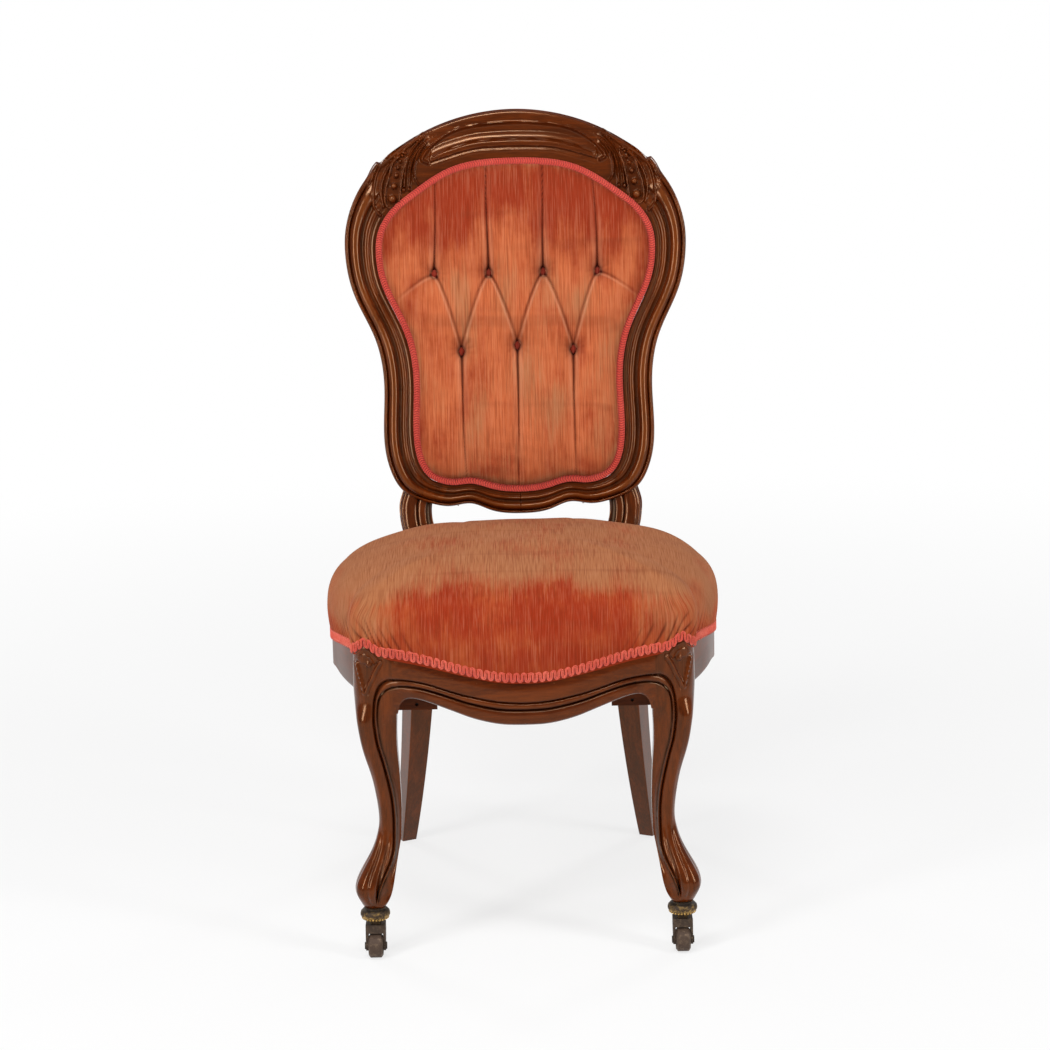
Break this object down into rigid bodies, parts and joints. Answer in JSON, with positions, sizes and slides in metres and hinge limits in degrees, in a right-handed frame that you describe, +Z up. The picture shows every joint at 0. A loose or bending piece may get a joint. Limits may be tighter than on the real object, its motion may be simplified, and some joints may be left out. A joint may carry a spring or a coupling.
{
  "type": "upholstered balloon back side chair",
  "caption": "Armless side chair with a moulded wooden balloon back, tufted velvet panel, domed sprung seat, cabriole front legs on swivel casters and sabre rear legs.",
  "frame": {"origin": "on the floor, at the middle of the chair's width and depth", "axes": "+Z up, +X towards the right-hand side as seen from the front, +Y from the seat's front to the back"},
  "size_m": [0.4974, 0.5288, 0.9903],
  "materials": {
    "crest_wood": "polished",
    "left_stile_wood": "polished",
    "right_stile_wood": "polished",
    "back_bottom_rail_wood": "polished",
    "back_dowel_wood": "plain",
    "back_velvet": "velvet pile",
    "back_gimp_braid": "woven braid",
    "button_velvet": "velvet pile",
    "back_webbing_jute": "woven",
    "outside_back_velvet": "velvet pile",
    "outside_back_gimp_braid": "woven braid",
    "left_rear_leg_wood": "polished",
    "right_rear_leg_wood": "polished",
    "left_front_leg_wood": "polished",
    "right_front_leg_wood": "polished",
    "front_rail_wood": "polished",
    "left_side_rail_wood": "polished",
    "right_side_rail_wood": "polished",
    "rear_rail_wood": "plain",
    "rail_dowel_wood": "plain",
    "corner_block_wood": "plain",
    "screw_steel": "dull",
    "ledge_wood": "plain",
    "seat_webbing_jute": "woven",
    "spring_steel": "dull",
    "canvas_hessian": "woven",
    "seat_velvet": "velvet pile",
    "seat_gimp_braid": "woven braid",
    "left_socket_brass": "dark patina",
    "left_fork_iron": "worn",
    "left_axle_steel": "worn",
    "left_wheel_iron": "worn",
    "right_socket_brass": "dark patina",
    "right_fork_iron": "worn",
    "right_axle_steel": "worn",
    "right_wheel_iron": "worn"
  },
  "bodies": {
    "chair": {"crest_rail": "crest_wood", "left_back_stile": "left_stile_wood", "right_back_stile": "right_stile_wood", "back_bottom_rail": "back_bottom_rail_wood", "back_dowels": "back_dowel_wood", "back_pad": "back_velvet", "back_gimp": "back_gimp_braid", "back_buttons": "button_velvet", "back_webbing": "back_webbing_jute", "outside_back_cover": "outside_back_velvet", "outside_back_gimp": "outside_back_gimp_braid", "left_rear_leg": "left_rear_leg_wood", "right_rear_leg": "right_rear_leg_wood", "left_front_leg": "left_front_leg_wood", "right_front_leg": "right_front_leg_wood", "front_seat_rail": "front_rail_wood", "left_side_rail": "left_side_rail_wood", "right_side_rail": "right_side_rail_wood", "rear_seat_rail": "rear_rail_wood", "seat_rail_dowels": "rail_dowel_wood", "corner_blocks": "corner_block_wood", "corner_block_screws": "screw_steel", "webbing_ledges": "ledge_wood", "seat_webbing": "seat_webbing_jute", "seat_springs": "spring_steel", "spring_canvas": "canvas_hessian", "seat_pad": "seat_velvet", "seat_gimp": "seat_gimp_braid", "left_caster_socket": "left_socket_brass", "right_caster_socket": "right_socket_brass"},
    "left_fork": {"left_caster_fork": "left_fork_iron", "left_caster_axle": "left_axle_steel"},
    "left_wheel": {"left_caster_wheel": "left_wheel_iron"},
    "right_fork": {"right_caster_fork": "right_fork_iron", "right_caster_axle": "right_axle_steel"},
    "right_wheel": {"right_caster_wheel": "right_wheel_iron"}
  },
  "joints": [
    {"name": "left_caster_swivel", "type": "hinge", "parent": "chair", "child": "left_fork", "pos_m": [-0.186, -0.217, 0.035], "axis": [0, 0, 1], "continuous": true},
    {"name": "left_wheel_spin", "type": "hinge", "parent": "left_fork", "child": "left_wheel", "pos_m": [-0.186, -0.225, 0.0145], "axis": [1, 0, 0], "continuous": true},
    {"name": "right_caster_swivel", "type": "hinge", "parent": "chair", "child": "right_fork", "pos_m": [0.186, -0.217, 0.035], "axis": [0, 0, 1], "continuous": true},
    {"name": "right_wheel_spin", "type": "hinge", "parent": "right_fork", "child": "right_wheel", "pos_m": [0.186, -0.225, 0.0145], "axis": [1, 0, 0], "continuous": true}
  ]
}
